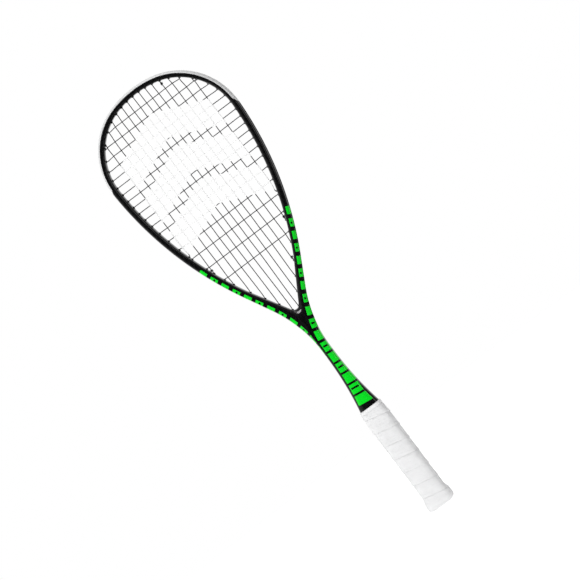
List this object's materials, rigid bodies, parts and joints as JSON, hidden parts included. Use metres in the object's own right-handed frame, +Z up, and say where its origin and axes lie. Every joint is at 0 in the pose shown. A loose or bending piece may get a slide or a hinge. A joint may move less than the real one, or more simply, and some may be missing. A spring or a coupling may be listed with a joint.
{
  "type": "squash racket",
  "caption": "Teardrop squash racket: hollow moulded frame with a closed vee throat, woven string bed, head bumper, grommet strips and a wrapped cushion grip.",
  "frame": {"origin": "centre of the butt cap's end face", "axes": "+Z up the handle axis to the head tip; the strings lie in the plane y = 0; the front face points to -Y and +X is to the right of it"},
  "size_m": [0.2084, 0.0354, 0.6849],
  "materials": {
    "carbon": "gloss",
    "foam": "matte",
    "cap_plastic": "matte",
    "staple_wire": "satin",
    "grip_wrap": "matte",
    "band_film": "satin",
    "guard_plastic": "satin",
    "grommet_plastic": "matte",
    "string": "satin"
  },
  "bodies": {
    "root": {"frame": "carbon", "foam_core_left": "foam", "foam_core_right": "foam", "butt_cap": "cap_plastic", "staple_front": "staple_wire", "staple_back": "staple_wire", "grip_tape": "grip_wrap", "finishing_band": "band_film", "bumper_guard": "guard_plastic", "head_grommets": "grommet_plastic", "side_grommets_left": "grommet_plastic", "side_grommets_right": "grommet_plastic", "throat_grommets_left": "grommet_plastic", "throat_grommets_right": "grommet_plastic", "main_string": "string", "cross_string": "string"}
  },
  "joints": []
}
